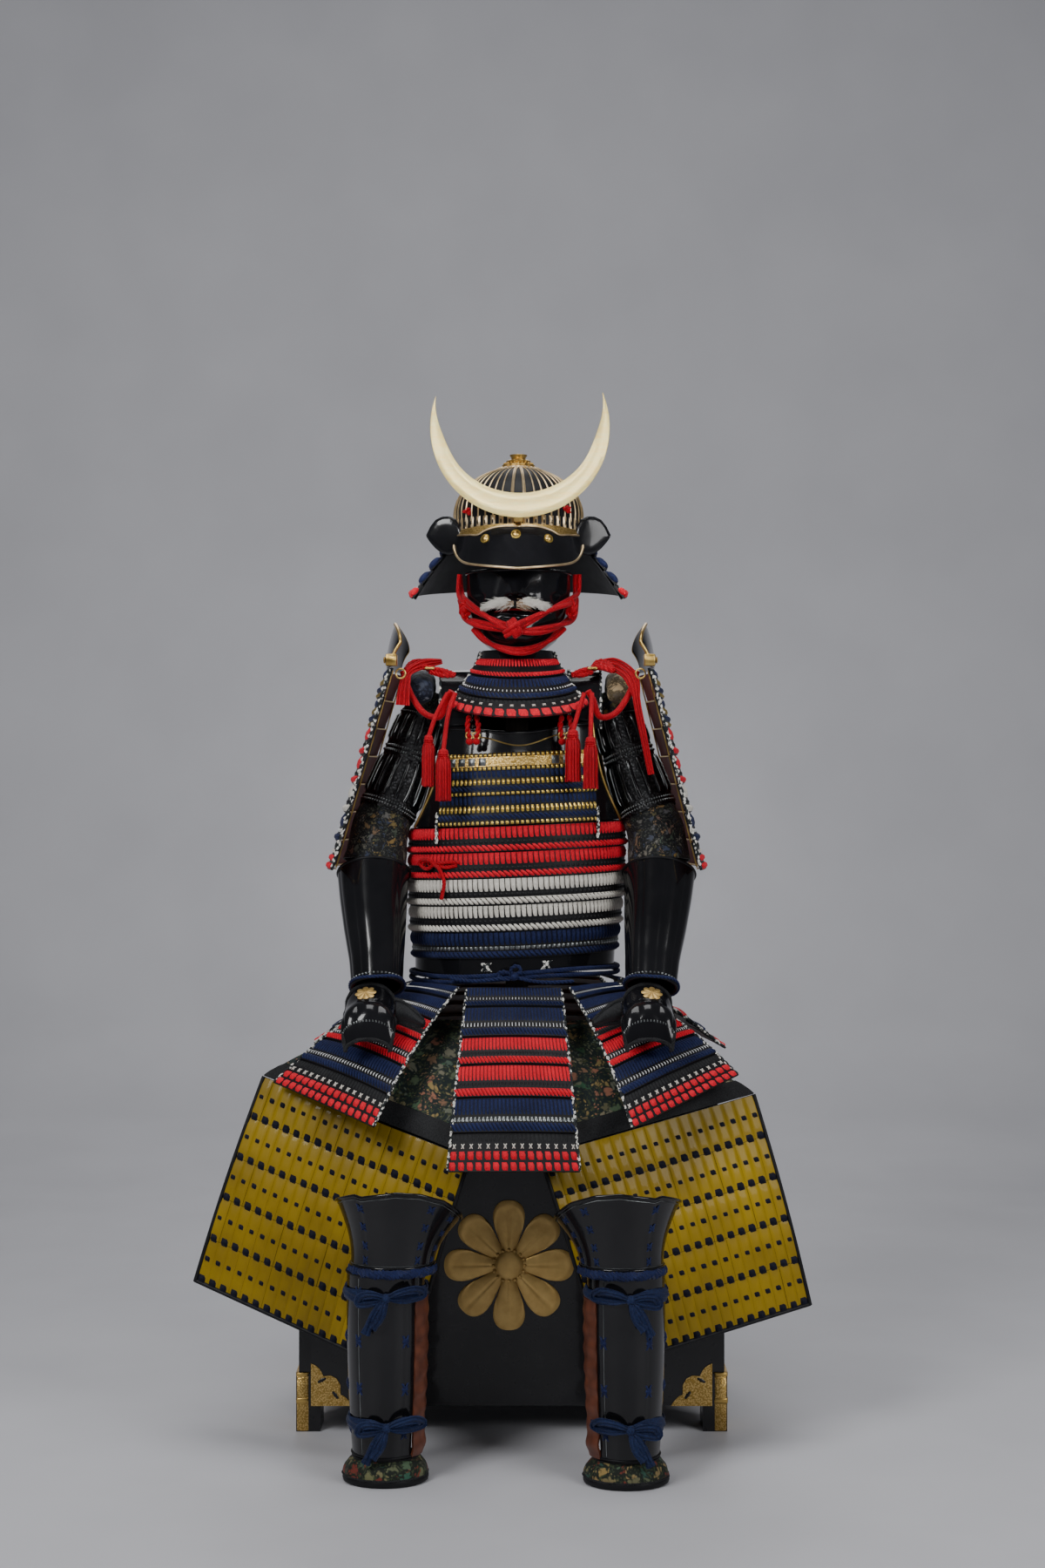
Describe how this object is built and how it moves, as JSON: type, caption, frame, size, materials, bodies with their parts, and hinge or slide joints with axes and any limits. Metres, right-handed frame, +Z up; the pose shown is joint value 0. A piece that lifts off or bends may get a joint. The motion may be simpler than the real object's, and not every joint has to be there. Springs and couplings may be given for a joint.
{
  "type": "samurai armour on its armour chest and stand",
  "caption": "Full laced samurai armour with crescent-crested helmet and face mask, filled out in a seated pose on its lacquered armour chest.",
  "frame": {"origin": "on the floor, at the middle of the footprint", "axes": "+Z up, -Y the way the armour faces, +X to the wearer's left"},
  "size_m": [0.9439, 0.7537, 1.6206],
  "materials": {
    "chest_lacquer": "smooth black lacquer over wood, satin to gloss",
    "black_lacquer": "polished black lacquer over iron and leather",
    "gilt_fittings": "engraved gilt copper",
    "gold_leaf": "pale brushed gold leaf",
    "ribbed_bowl": "black lacquered plates with raised gilt ribs",
    "laced_plates": "navy, white, crimson and gold silk lacing over black lacquered lames",
    "gold_plates": "small yellow-gold lacquered plates laced with navy cord",
    "sleeve_cloth": "dark floral brocade under black mail and splints",
    "shoe_brocade": "green and gold brocade with a black sole",
    "red_silk": "crimson braided silk",
    "navy_silk": "navy braided silk and gauze",
    "white_hair": "white animal hair",
    "stand_wood": "dark stained wood, satin"
  },
  "bodies": {
    "root": {"chest_body": "chest_lacquer", "chest_lid": "chest_lacquer", "chest_corner_right": "gilt_fittings", "chest_corner_left": "gilt_fittings", "chest_rosette": "gilt_fittings", "display_stand": "stand_wood", "cuirass_trunk": "laced_plates", "chest_plate": "laced_plates", "back_plate": "laced_plates", "shoulder_strap_right": "black_lacquer", "shoulder_strap_left": "black_lacquer", "waist_cord": "navy_silk", "throat_guard": "laced_plates", "neck_guard": "laced_plates", "helmet_bowl": "ribbed_bowl", "helmet_finial": "gilt_fittings", "helmet_peak": "black_lacquer", "crescent_crest": "gold_leaf", "turnback_right": "black_lacquer", "turnback_left": "black_lacquer", "face_mask": "black_lacquer", "moustache": "white_hair", "chin_cord": "red_silk", "tasset_front": "laced_plates", "tasset_lap_right": "laced_plates", "tasset_lap_left": "laced_plates", "tasset_side_right": "laced_plates", "tasset_side_left": "laced_plates", "tasset_back_right": "laced_plates", "tasset_back_left": "laced_plates", "thigh_guard_right": "gold_plates", "upper_sleeve_right": "sleeve_cloth", "forearm_guard_right": "black_lacquer", "hand_guard_right": "black_lacquer", "shoulder_board_right": "laced_plates", "board_crown_right": "black_lacquer", "knee_guard_right": "black_lacquer", "shin_guard_right": "black_lacquer", "shoe_right": "shoe_brocade", "shin_tie_upper_right": "navy_silk", "shin_tie_lower_right": "navy_silk", "shoulder_cord_right": "red_silk", "shoulder_ribbon_right": "red_silk", "tassel_right_outer": "red_silk", "tassel_right_inner": "red_silk", "thigh_guard_left": "gold_plates", "upper_sleeve_left": "sleeve_cloth", "forearm_guard_left": "black_lacquer", "hand_guard_left": "black_lacquer", "shoulder_board_left": "laced_plates", "board_crown_left": "black_lacquer", "knee_guard_left": "black_lacquer", "shin_guard_left": "black_lacquer", "shoe_left": "shoe_brocade", "shin_tie_upper_left": "navy_silk", "shin_tie_lower_left": "navy_silk", "shoulder_cord_left": "red_silk", "shoulder_ribbon_left": "red_silk", "tassel_left_outer": "red_silk", "tassel_left_inner": "red_silk"}
  },
  "joints": []
}
